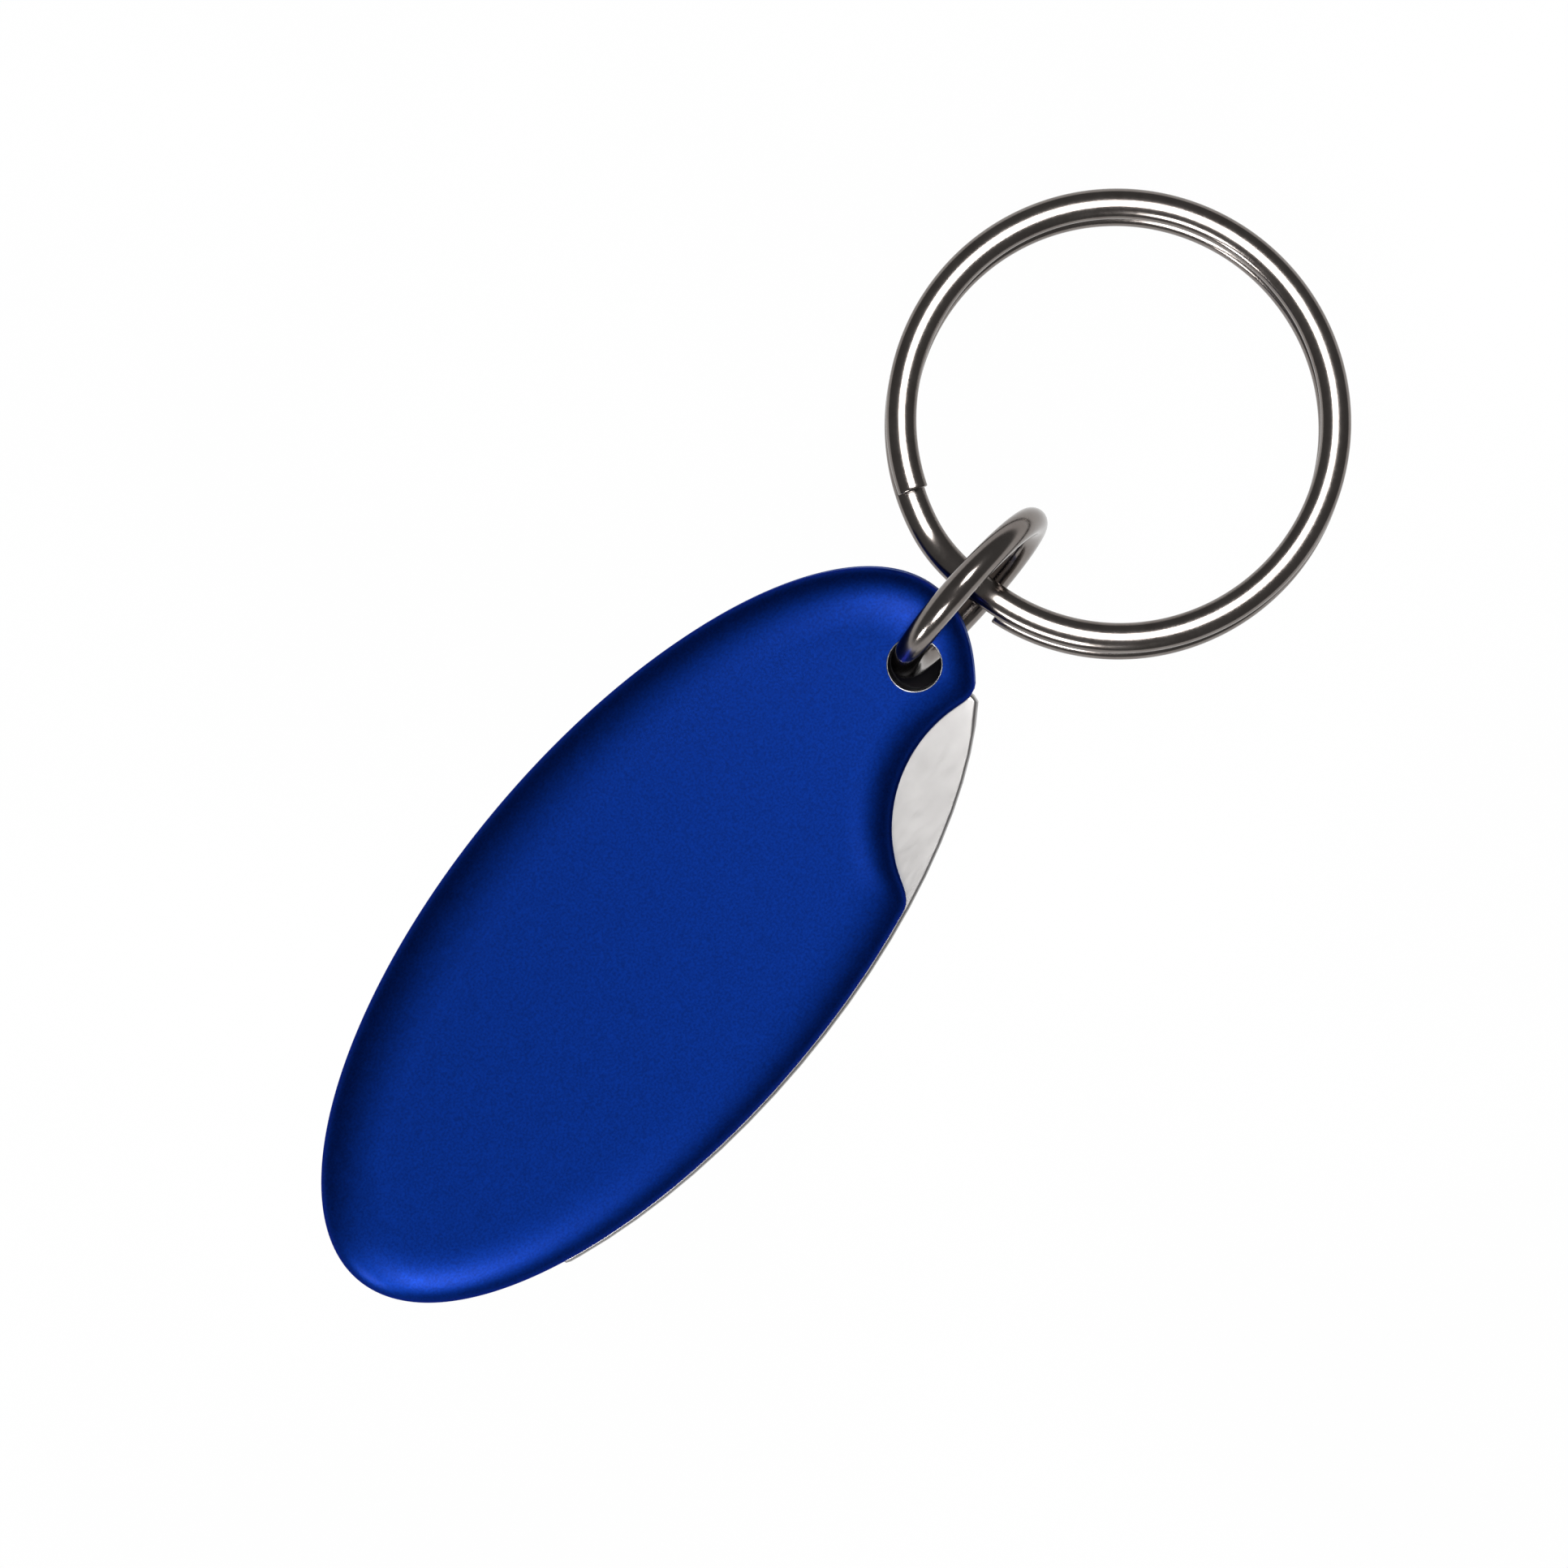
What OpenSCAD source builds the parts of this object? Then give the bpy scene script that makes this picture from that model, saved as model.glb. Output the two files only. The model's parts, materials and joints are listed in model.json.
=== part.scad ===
// Pocket token holder: an oval key fob whose plate swings out of a slot and carries a round
// token. A jump ring through the lug holds a two-turn split ring for keys.
//
// The fob's own frame has its origin under the middle of the oval, on the plane of the back
// face: +X towards the lug and the rings, -Y towards the open side of the slot, +Z out of the
// front face. as_it_lies() sets the fob down on a table, where the tail's heel and the jump
// ring carry it, and that table is z = 0 of the whole part.

/* [Body] */
// Length of the oval body
body_len = 57.8; // [50:0.1:75]
// Width of the oval body across its middle
body_wid = 25.3; // [24.8:0.1:32]
// Thickness of the closed body
body_thick = 6; // [5.6:0.1:9]
// Width of the rounded border round each face
border_w = 4.5; // [2:0.1:5]
// Height of the slot between the two shells
slot_h = 2.6; // [2.2:0.1:3.2]
// Wall left between the slot and the closed long side
spine_w = 1.3; // [1:0.1:2.5]

/* [Finger notch] */
// Radius of the finger notch
notch_r = 9.4; // [7:0.1:11]
// How far the notch centre lies from the lug end of the body
notch_from_end = 7.5; // [6:0.1:10]
// How deep the notch reaches in from the body's widest line
notch_depth = 7.25; // [6:0.05:8]
// Width of the rounded shoulder round the notch
shoulder_w = 3; // [0.5:0.1:3.5]

/* [Lug] */
// Clear diameter of the lug hole
hole_d = 3.4; // [3.3:0.1:4.5]
// Distance from the hole's centre to the lug end
hole_from_end = 4.5; // [4.2:0.1:6]
// How far the hole's centre lies off the long axis, towards the slot
hole_offset = 1.9; // [0:0.1:2.5]
// Wall of the metal liner in the lug hole
liner_wall = 0.3; // [0.3:0.05:0.5]
// How much wider than the bore, on each side, the liner's mouths are
mouth_ease = 0.25; // [0.1:0.05:0.25]
// How deep the liner's mouths are eased
mouth_depth = 0.45; // [0.2:0.05:0.6]
// Solid metal between the lug hole and the slot's end
lug_wall = 3; // [1.5:0.1:5]

/* [Carrier] */
// Thickness of the swinging carrier plate
carrier_t = 2.2; // [1.8:0.1:2.6]
// How far the carrier stands proud of the body along the slot
proud = 0.45; // [0:0.05:0.8]
// Distance from the pivot to the tail end of the body
pivot_from_tail = 9.4; // [8:0.1:11]
// Radius of the carrier's round heel about the pivot
heel_r = 6.8; // [6.2:0.1:7.2]
// Diameter of the pivot pin
pivot_d = 2.5; // [2:0.1:3]
// Angle through which the carrier swings out
swing = 100; // [60:1:105]
// Diameter of the stop pin
stop_d = 1.6; // [1:0.1:1.8]
// Radius from the pivot to the stop pin
stop_r = 4.6; // [4.2:0.1:5]

/* [Token] */
// Diameter of the token
token_d = 22; // [16:0.1:22.4]
// Thickness of the token at its rim
token_t = 1.9; // [1.2:0.1:2.1]
// Width of the token's raised rim
token_rim_w = 1.3; // [0.6:0.1:2]
// Metal of the carrier round the token's seat
seat_rim = 1.1; // [0.9:0.1:2]

/* [Rings] */
// Wire diameter of the jump ring
jump_wire = 1.8; // [1.5:0.1:1.9]
// Outer diameter of the jump ring
jump_od = 14; // [13.6:0.1:20]
// Lean of the jump ring to the side
jump_lean = 7; // [0:0.5:8]
// Turn of the jump ring off the body's long axis
jump_turn = -1.5; // [-2:0.5:2]
// How far the jump ring's middle lies off the hole's axis, away from the slot
jump_side = 0.25; // [0:0.05:0.3]
// Gap between the jump ring's wire and the hole's inner side
jump_slack = 0.3; // [0.05:0.05:0.5]
// Outer diameter of the split ring
split_od = 30; // [24:0.5:40]
// Width of the split ring's flattened wire, seen from above
split_w = 1.97; // [1.4:0.01:2.2]
// Thickness of one turn of the split ring
split_t = 1.3; // [1:0.05:1.5]
// How far the lower turn lies out of line with the upper one
turn_shift = 0.3; // [0:0.05:0.5]

/* [Fits] */
// Clearance between the carrier and each face of the slot's edge
edge_gap = 0.3; // [0.15:0.05:0.5]
// Radial clearance of the carrier's bore on the pivot pin
pivot_gap = 0.05; // [0.02:0.01:0.1]
// Radial clearance of the token in its seat
token_gap = 0.1; // [0.05:0.05:0.3]
// Clearance between small parts that pass each other
small_gap = 0.05; // [0.03:0.01:0.1]

/* [Smoothness] */
// Segments of the body's oval
oval_n = 72; // [36:4:96]

/* [Hidden] */
$fn = 64;

lacquer_blue = [0.03, 0.16, 0.52];
satin_nickel = [0.80, 0.80, 0.81];
dark_nickel = [0.36, 0.34, 0.33];
pin_steel = [0.62, 0.63, 0.65];
token_brass = [0.78, 0.62, 0.30];
beyond = 2 * body_len;

// Levels in the fob's own frame
mid_z = body_thick / 2;
slot_top = mid_z + slot_h / 2;
border_z = slot_top - 0.2;
border_steps = 6;

// Plan of the body
body_a = body_len / 2;
body_b = body_wid / 2;
function oval(a, b) = [for (i = [0:oval_n - 1]) [a * cos(360 * i / oval_n), b * sin(360 * i / oval_n)]];
function half_width(x) = body_b * sqrt(max(0, 1 - pow(x / body_a, 2)));
function polar(r, angle) = [r * cos(angle), r * sin(angle)];

notch_at = [body_a - notch_from_end, notch_depth - body_b - notch_r];
hole_at = [body_a - hole_from_end, -hole_offset];
liner_od = hole_d + 2 * liner_wall;

// Carrier: its heel just fills the oval below the pivot, and its far end stops at the lug
pivot_x = pivot_from_tail - body_a;
pivot_at = [pivot_x, heel_r - half_width(pivot_x)];
seat_r = token_d / 2 + token_gap;
ring_r = seat_r + seat_rim;
token_at = [0, ring_r - body_b - proud];
slot_reach = hole_at.x - liner_od / 2 - lug_wall - pivot_x;
carrier_reach = slot_reach - edge_gap;
nose_r = notch_r + 0.5;
nose_tip_x = body_a - 3.6;
slot_mouth_y = pivot_at.y + 1.9;

// Stop pin at the start of the carrier's arc slot, which is as long as the swing
stop_angle = 100;
stop_at = pivot_at + polar(stop_r, stop_angle);
stop_slot_w = stop_d + 0.2;

// Dowels: one in the tail block, one beside the spine, one in the lug
dowel_d = 1.4;
dowel_h = 3.4;
spine_dowel_x = pivot_x + 3.5;
heel_angle = asin((ring_r - heel_r) / norm(token_at - pivot_at))
    + atan2(token_at.y - pivot_at.y, token_at.x - pivot_at.x);
heel_line_y = pivot_at.y + heel_r / cos(heel_angle) + (spine_dowel_x - pivot_x) * tan(heel_angle);
lug_dowel_y = body_b * 0.28;
lug_solid_x = pivot_x + sqrt(pow(slot_reach, 2) - pow(lug_dowel_y - pivot_at.y, 2));
lug_dowel_x = (lug_solid_x + body_a * sqrt(1 - pow(lug_dowel_y / body_b, 2))) / 2;
dowels = [
    pivot_at + polar(heel_r + 1.85, 135),
    [spine_dowel_x, (heel_line_y + edge_gap + half_width(spine_dowel_x)) / 2],
    [lug_dowel_x, lug_dowel_y]
];

// Pin ends stop short of the outer faces
pin_cover = 0.9;
pin_h = body_thick - 2 * pin_cover;

// Friction stack at the pivot
washer_od = 5;
washer_t = 0.5;
recess_depth = washer_t - (slot_h - carrier_t) / 2 + small_gap;
disc_t = 0.2;

// Retaining wire round the token
spring_wire = 0.6;
spring_r = seat_r + 0.15;
groove_wire = spring_wire + 2 * small_gap;
spring_open = 40;

// Jump ring, which stands in the hole
jump_r = (jump_od - jump_wire) / 2;
jump_x = hole_at.x - hole_d / 2 + jump_slack + jump_od / 2;
joint_slit = 0.1;

// Lie of the fob on the table: it touches at the flat's tail end and under the jump ring
flat_end = -(body_a - border_w);
ring_low = jump_r * cos(jump_lean) + jump_wire / 2;
heel_to_ring = norm([jump_x - flat_end, mid_z]);
pitch = asin(ring_low / heel_to_ring) - atan2(mid_z, jump_x - flat_end);
ring_from_heel = heel_to_ring * cos(asin(ring_low / heel_to_ring));

// Split ring: its near side hangs in the jump ring, its far side lies on the table
split_r = (split_od - split_w) / 2;
turn_gap = 0.05;
bundle_h = 2 * split_t + turn_gap;
corner_r = split_t * 0.45;
bundle_r = norm([split_w / 2 + turn_shift - corner_r, bundle_h / 2 - corner_r]) + corner_r;
crossing_drop = jump_r - jump_wire / 2 - bundle_r - small_gap;
crossing_dx = 0.75;
crossing_fall = sqrt(pow(crossing_drop, 2) - pow(crossing_dx, 2));
crossing_h = ring_low - crossing_fall * cos(jump_lean);
tilt = asin((crossing_h - bundle_h / 2) / (2 * split_r));
crossing_from_heel = ring_from_heel + crossing_dx;
far_end = crossing_from_heel + (2 * split_r + split_w / 2) * cos(tilt);
tail_end = -border_w * cos(pitch) - mid_z * sin(pitch);
middle = (far_end + tail_end) / 2;
turn_start = 149;
turn_sweep = 322;
joggle_steps = 8;
shift_angle = 220;

// Sets what is drawn in the fob's own frame down on the table
module as_it_lies() {
    translate([-middle, -hole_at.y, 0])
        rotate([0, -pitch, 0])
            translate([-flat_end, 0, 0])
                children();
}

// A pin, bore or disc that stands on z
module rod(at, d, h, z = 0) {
    translate([at.x, at.y, z])
        cylinder(d = d, h = h);
}

// The outline round two discs, with straight sides that are tangent to both
module taper_2d(p, rp, q, rq) {
    along = atan2(q.y - p.y, q.x - p.x);
    lean = acos((rp - rq) / norm(q - p));
    translate(p) circle(r = rp);
    translate(q) circle(r = rq);
    polygon([
        p + polar(rp, along + lean), p + polar(rp, along - lean),
        q + polar(rq, along - lean), q + polar(rq, along + lean)
    ]);
}

// Everything on one side of a line across the plan
module below_2d(y) {
    translate([-beyond / 2, y - beyond]) square(beyond);
}
module right_of_2d(x) {
    translate([x, -beyond / 2]) square(beyond);
}

// A closed solid through a stack of outlines that all have the same number of points
module skin(rings) {
    n = len(rings[0]);
    last = (len(rings) - 1) * n;
    polyhedron(
        points = [for (ring = rings, p = ring) p],
        faces = concat(
            [[for (i = [0:n - 1]) i]],
            [
                for (k = [0:n:last - n], i = [0:n - 1])
                    let (j = (i + 1) % n)
                    each [[k + i, k + n + i, k + n + j], [k + i, k + n + j, k + j]]
            ],
            [[for (i = [n - 1:-1:0]) last + i]]
        )
    );
}

// Upper half of the body as one smooth solid: a flat face with a rounded border
module pillow() {
    wall = [for (p = oval(body_a, body_b)) [p.x, p.y, mid_z]];
    border = [
        for (i = [0:border_steps])
            let (
                turn = 90 * i / border_steps,
                inset = border_w * (1 - cos(turn)),
                level = border_z + (body_thick - border_z) * sin(turn)
            )
            [for (p = oval(body_a - inset, body_b - inset)) [p.x, p.y, level]]
    ];
    skin(concat([wall], border));
}

// Room for the carrier between the shells. It is open all along the slot side and round the
// tail's tip, so that the carrier's straight edge can swing past
module slot_2d() {
    intersection() {
        translate(pivot_at) circle(r = slot_reach);
        union() {
            below_2d(slot_mouth_y);
            intersection() {
                polygon(oval(body_a - spine_w, body_b - spine_w));
                union() {
                    right_of_2d(token_at.x - edge_gap);
                    taper_2d(pivot_at, heel_r + edge_gap, token_at, ring_r + edge_gap);
                }
            }
        }
    }
    translate(pivot_at) circle(r = heel_r + edge_gap);
    translate(notch_at) circle(r = nose_r + edge_gap);
}

// Cutter for the finger notch, with a rounded shoulder that opens towards the face
module notch_cut() {
    steps = 8;
    shoulder = [
        for (i = [0:steps])
            let (turn = 90 * i / steps)
            [
                notch_r + shoulder_w * (1 - cos(turn)),
                border_z + (body_thick - border_z) * sin(turn)
            ]
    ];
    translate(notch_at)
        rotate_extrude($fn = 96)
            polygon(concat([[0, 0], [notch_r, 0]], shoulder,
                [[notch_r + shoulder_w, body_thick + 1], [0, body_thick + 1]]));
}

// The half of the body above its middle plane
module shell_half() {
    difference() {
        pillow();
        translate([0, 0, mid_z - 1]) linear_extrude(1 + slot_h / 2) slot_2d();
        notch_cut();
        rod(hole_at, liner_od, body_thick + 2, -1);
        rod(pivot_at, pivot_d, mid_z + pin_h / 2);
        rod(pivot_at, washer_od + 0.2, slot_top + recess_depth);
        rod(stop_at, stop_d, mid_z + pin_h / 2);
        for (at = dowels)
            rod(at, dowel_d, mid_z + dowel_h / 2);
    }
}

module front_shell() {
    color(lacquer_blue) as_it_lies() shell_half();
}

module back_shell() {
    color(lacquer_blue)
        as_it_lies()
            translate([0, 0, body_thick]) mirror([0, 0, 1]) shell_half();
}

// Plan of the carrier: proud of the body on the slot side, clear of the spine on the other
module carrier_2d() {
    intersection() {
        union() {
            polygon(oval(body_a - spine_w - edge_gap, body_b - spine_w - edge_gap));
            intersection() {
                polygon(oval(body_a + proud, body_b + proud));
                below_2d(slot_mouth_y - 1);
            }
        }
        union() {
            intersection() {
                translate(pivot_at) circle(r = carrier_reach);
                union() {
                    taper_2d(pivot_at, heel_r, token_at, ring_r);
                    right_of_2d(token_at.x);
                    intersection() {
                        right_of_2d(pivot_at.x);
                        below_2d(pivot_at.y);
                    }
                }
            }
            difference() {
                translate(notch_at) circle(r = nose_r);
                right_of_2d(nose_tip_x);
            }
        }
    }
}

// Arc slot for the stop pin, from its rest end round to its open end
module stop_slot() {
    translate([pivot_at.x, pivot_at.y, mid_z - carrier_t])
        rotate([0, 0, stop_angle])
            rotate_extrude(angle = swing)
                translate([stop_r - stop_slot_w / 2, 0]) square([stop_slot_w, 2 * carrier_t]);
    for (angle = [stop_angle, stop_angle + swing])
        rod(pivot_at + polar(stop_r, angle), stop_slot_w, 2 * carrier_t, mid_z - carrier_t);
}

// Ring of round wire about the token's centre
module token_wire(wire, open) {
    translate([token_at.x, token_at.y, mid_z])
        rotate([0, 0, open / 2])
            rotate_extrude(angle = 360 - open)
                translate([spring_r, 0]) circle(d = wire, $fn = 24);
}

module token_carrier() {
    color(satin_nickel) as_it_lies() difference() {
        translate([0, 0, mid_z - carrier_t / 2]) linear_extrude(carrier_t) carrier_2d();
        rod(token_at, 2 * seat_r, body_thick);
        rod(pivot_at, pivot_d + 2 * pivot_gap, body_thick);
        stop_slot();
        token_wire(groove_wire, 0);
    }
}

// Round blank: raised rim on both faces, a sunk field and a shallow groove round its edge
module token() {
    token_r = token_d / 2;
    field = token_t / 2 - 0.25;
    groove = 0.25;
    color(token_brass)
        as_it_lies()
            translate([token_at.x, token_at.y, mid_z])
                rotate_extrude($fn = 96)
                    polygon([
                        [0, -field], [token_r - token_rim_w, -field],
                        [token_r - token_rim_w, -token_t / 2], [token_r, -token_t / 2],
                        [token_r, -groove * 1.6], [token_r - groove, 0], [token_r, groove * 1.6],
                        [token_r, token_t / 2], [token_r - token_rim_w, token_t / 2],
                        [token_r - token_rim_w, field], [0, field]
                    ]);
}

// Open wire ring in the seat's groove, which snaps into the groove of the token
module token_spring() {
    color(pin_steel) as_it_lies() token_wire(spring_wire, spring_open);
}

module pivot_pin() {
    color(pin_steel) as_it_lies() rod(pivot_at, pivot_d, pin_h, mid_z - pin_h / 2);
}

// Flat washer in the front shell's recess
module plain_washer() {
    top = slot_top + recess_depth;
    color(pin_steel) as_it_lies() difference() {
        rod(pivot_at, washer_od, washer_t, top - washer_t);
        rod(pivot_at, pivot_d + 2 * small_gap, body_thick);
    }
}

// Dished washer in the back shell's recess, which presses on the carrier
module disc_spring() {
    floor_z = body_thick - slot_top - recess_depth;
    rise = washer_t - disc_t;
    bore_r = pivot_d / 2 + small_gap;
    color(pin_steel)
        as_it_lies()
            translate([pivot_at.x, pivot_at.y, floor_z])
                rotate_extrude()
                    polygon([
                        [bore_r, rise], [washer_od / 2, 0],
                        [washer_od / 2, disc_t], [bore_r, rise + disc_t]
                    ]);
}

module stop_pin() {
    color(pin_steel) as_it_lies() rod(stop_at, stop_d, pin_h, mid_z - pin_h / 2);
}

module dowel_pins() {
    color(pin_steel)
        as_it_lies()
            for (at = dowels)
                rod(at, dowel_d, dowel_h, mid_z - dowel_h / 2);
}

// Thin tube through the lug, flush with both faces, with eased mouths
module lug_eyelet() {
    color(pin_steel) as_it_lies() difference() {
        intersection() {
            rod(hole_at, liner_od, body_thick);
            union() {
                pillow();
                translate([0, 0, body_thick]) mirror([0, 0, 1]) pillow();
            }
        }
        rod(hole_at, hole_d, body_thick + 2, -1);
        for (side = [-1, 1])
            translate([hole_at.x, hole_at.y, mid_z + side * (mid_z - mouth_depth)])
                rotate([side > 0 ? 0 : 180, 0, 0])
                    cylinder(d1 = hole_d, d2 = hole_d + 4 * mouth_ease, h = 2 * mouth_depth);
    }
}

// Round wire bent to a ring, with the cut where its ends meet on the hidden inner side
module jump_ring() {
    color(dark_nickel)
        as_it_lies()
            translate([jump_x, hole_at.y + jump_side, mid_z])
                rotate([90 - jump_lean, 0, jump_turn])
                    rotate([0, 0, 180 + joint_slit])
                        rotate_extrude(angle = 360 - 360 * joint_slit / (2 * PI * jump_r), $fn = 96)
                            translate([jump_r, 0]) circle(d = jump_wire, $fn = 48);
}

// Section of the split ring's flattened wire, about the middle of its width
flat_w = split_w / 2 - corner_r;
flat_h = split_t / 2 - corner_r;
corners = [[flat_w, flat_h], [-flat_w, flat_h], [-flat_w, -flat_h], [flat_w, -flat_h]];
wire_outline = [
    for (i = [0:3], step = [0:3])
        corners[i] + polar(corner_r, 90 * i + 30 * step)
];

// A turn of the wire, run clockwise from where it starts
module turn_of_wire(z) {
    translate([0, 0, z])
        rotate([0, 0, turn_start - turn_sweep])
            rotate_extrude(angle = turn_sweep, $fn = 120)
                translate([split_r, 0]) polygon(wire_outline);
}

// The wire's outline on its way down from the upper turn to the lower one. It is a little
// slimmer than the turns, and both its ends are let into them
joggle_share = 0.98;
let_in = 0.06;
function joggle_ring(share) =
    let (
        s = min(1, max(0, share)),
        drop = (split_t + turn_gap) * (3 * pow(s, 2) - 2 * pow(s, 3) - 0.5),
        shift = polar(turn_shift * s, shift_angle),
        angle = turn_start - turn_sweep - share * (360 - turn_sweep)
    )
    [
        for (p = joggle_share * wire_outline)
            let (at = polar(split_r + p.x, angle) + shift)
            [at.x, at.y, p.y - drop]
    ];

// Two turns of flattened wire. The origin is where the ring crosses the jump ring
module split_ring() {
    level = (split_t + turn_gap) / 2;
    color(dark_nickel)
        translate([crossing_from_heel - middle, 0, crossing_h])
            rotate([0, tilt, 0])
                translate([split_r, 0, 0]) {
                    turn_of_wire(level);
                    translate(polar(turn_shift, shift_angle)) turn_of_wire(-level);
                    skin([
                        for (i = [0:joggle_steps])
                            joggle_ring((1 + 2 * let_in) * i / joggle_steps - let_in)
                    ]);
                }
}

front_shell();
back_shell();
token_carrier();
token();
token_spring();
pivot_pin();
plain_washer();
disc_spring();
stop_pin();
dowel_pins();
lug_eyelet();
jump_ring();
split_ring();
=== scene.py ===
"""Looks of a pocket token holder: blue oval fob, swinging plate, jump ring and split ring.

Pieces of the fob are modelled in millimetres in the fob's own frame (x along the oval towards
the rings, y away from the slot, z out of the front face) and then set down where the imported
model lies. The split ring is modelled flat about its own middle and set down the same way.
"""

import json
import math

import bpy
import numpy as np
from mathutils import Matrix, Vector

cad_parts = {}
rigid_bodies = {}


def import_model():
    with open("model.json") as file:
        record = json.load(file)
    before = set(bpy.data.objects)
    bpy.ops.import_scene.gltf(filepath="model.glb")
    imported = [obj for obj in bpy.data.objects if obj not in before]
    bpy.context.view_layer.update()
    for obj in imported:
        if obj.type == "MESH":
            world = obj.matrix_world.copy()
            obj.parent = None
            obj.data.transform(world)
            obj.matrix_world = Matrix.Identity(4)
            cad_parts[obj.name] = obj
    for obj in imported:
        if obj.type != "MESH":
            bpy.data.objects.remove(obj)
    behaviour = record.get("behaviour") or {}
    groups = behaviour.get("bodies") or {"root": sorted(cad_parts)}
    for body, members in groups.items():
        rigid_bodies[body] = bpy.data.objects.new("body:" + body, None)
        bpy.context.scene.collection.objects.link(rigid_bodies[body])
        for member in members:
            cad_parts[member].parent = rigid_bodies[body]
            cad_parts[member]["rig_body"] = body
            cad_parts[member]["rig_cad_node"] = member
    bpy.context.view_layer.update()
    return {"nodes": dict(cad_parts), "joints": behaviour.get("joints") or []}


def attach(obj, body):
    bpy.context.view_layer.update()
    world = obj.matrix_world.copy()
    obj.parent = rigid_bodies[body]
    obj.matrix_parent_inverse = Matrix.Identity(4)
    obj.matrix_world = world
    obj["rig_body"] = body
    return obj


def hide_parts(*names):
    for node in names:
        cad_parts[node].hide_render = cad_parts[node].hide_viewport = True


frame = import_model()

MM = 0.001
nodes = frame["nodes"]
joints = {joint["name"]: joint for joint in frame["joints"]}


# ---------------------------------------------------------------- where the fob lies

def span(names, axis):
    """Lowest and highest reach of some CAD nodes along an axis, in metres."""
    reach = [vertex.co.dot(axis) for name in names for vertex in nodes[name].data.vertices]
    return min(reach), max(reach)


def set_down(origin, along, across, up):
    """Matrix from millimetres in a piece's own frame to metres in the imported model's frame."""
    turned = Matrix((along, across, up)).transposed().to_4x4()
    return Matrix.Translation(origin) @ turned @ Matrix.Scale(MM, 4)


def middle_of(name):
    """Middle of one CAD node, half-way along each of the fob's three directions, in metres."""
    reach = [sum(span([name], axis)) / 2 for axis in (fob_along, fob_across, fob_up)]
    return fob_along * reach[0] + fob_across * reach[1] + fob_up * reach[2]


shells = ["front_shell", "back_shell"]
fob_up = -Vector(joints["carrier_swing"]["axis"]).normalized()
fob_across = Vector((0, 1, 0))
fob_along = fob_across.cross(fob_up).normalized()
tail, lug = span(shells, fob_along)
slot_side, spine_side = span(shells, fob_across)
back_z, front_z = span(shells, fob_up)
fob_origin = (
    fob_along * (tail + lug) / 2 + fob_across * (slot_side + spine_side) / 2 + fob_up * back_z
)
FOB = set_down(fob_origin, fob_along, fob_across, fob_up)


def in_fob(point):
    """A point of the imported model, in the fob's own millimetres."""
    return FOB.inverted() @ Vector(point)


HALF_LENGTH = (lug - tail) / 2 / MM
HALF_WIDTH = (spine_side - slot_side) / 2 / MM
THICKNESS = (front_z - back_z) / MM
MIDDLE = THICKNESS / 2

pivot = in_fob(joints["carrier_swing"]["pos_m"])
hole = in_fob(joints["jump_ring_swing"]["pos_m"])
token_middle = in_fob(middle_of("token"))

SLOT_HEIGHT = 2.6
SLOT_TOP = MIDDLE + SLOT_HEIGHT / 2
SPINE_WALL = 1.3
EDGE_GAP = 0.3
HEEL_RADIUS = 6.8
SEAT_RING_RADIUS = 12.2
MOUTH_OFFSET = 1.9
LINER_SIDE = 0.3
LUG_WALL = 3.0
NOTCH_RADIUS = 9.4
NOTCH_FROM_END = 7.5
NOTCH_DEPTH = 7.25
NOTCH_RELIEF = 0.8
NOTCH = Vector((HALF_LENGTH - NOTCH_FROM_END, NOTCH_DEPTH - HALF_WIDTH - NOTCH_RADIUS))
BORDER_WIDTH = 4.7
SHOULDER_WIDTH = 3.2
CORNER_BLEND = 0.22
PROUD = 0.45
SEEN_PROUD = 0.25
HEEL_INSET = 0.5
NOSE_TIP = 25.3
SIDE_WALL = 0.22
WALL_TOP = SLOT_TOP + SIDE_WALL
FACE_CROWN = 0.16
LIP_EASE = 0.05
LIP_HEIGHT = 0.07
BORE_RADIUS = 1.7
LINER_WALL = 0.09


# ---------------------------------------------------------------- making and keeping pieces

def start_clean():
    bpy.ops.object.select_all(action="DESELECT")


def placed():
    """The new primitive, with its place and size in its mesh."""
    bpy.ops.object.transform_apply(location=True, rotation=True, scale=True)
    return bpy.context.object


def edit(piece, *steps):
    """Runs edit-mode steps on the whole mesh of one piece."""
    start_clean()
    piece.select_set(True)
    bpy.context.view_layer.objects.active = piece
    bpy.ops.object.mode_set(mode="EDIT")
    bpy.ops.mesh.select_all(action="SELECT")
    for step in steps:
        step()
    bpy.ops.object.mode_set(mode="OBJECT")


def closed(piece, gap=0.0005):
    """Welds what touches and turns every face outwards."""
    edit(
        piece,
        lambda: bpy.ops.mesh.remove_doubles(threshold=gap),
        lambda: bpy.ops.mesh.normals_make_consistent(inside=False),
    )


def apply_modifier(piece, kind, **settings):
    start_clean()
    piece.select_set(True)
    bpy.context.view_layer.objects.active = piece
    modifier = piece.modifiers.new(kind.lower(), kind)
    for name, value in settings.items():
        setattr(modifier, name, value)
    bpy.ops.object.modifier_apply(modifier=modifier.name)


def combine(piece, tool, operation):
    apply_modifier(piece, "BOOLEAN", object=tool, operation=operation, solver="EXACT")
    bpy.data.objects.remove(tool)
    return piece


def disc(at, radius, low, high, around=128):
    start_clean()
    bpy.ops.mesh.primitive_cylinder_add(
        vertices=around, radius=radius, depth=high - low, location=(at[0], at[1], (low + high) / 2)
    )
    return placed()


def oval(inset, low, high):
    prism = disc((0, 0), 1, low, high, 256)
    prism.scale = (HALF_LENGTH - inset, HALF_WIDTH - inset, 1)
    return placed()


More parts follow.
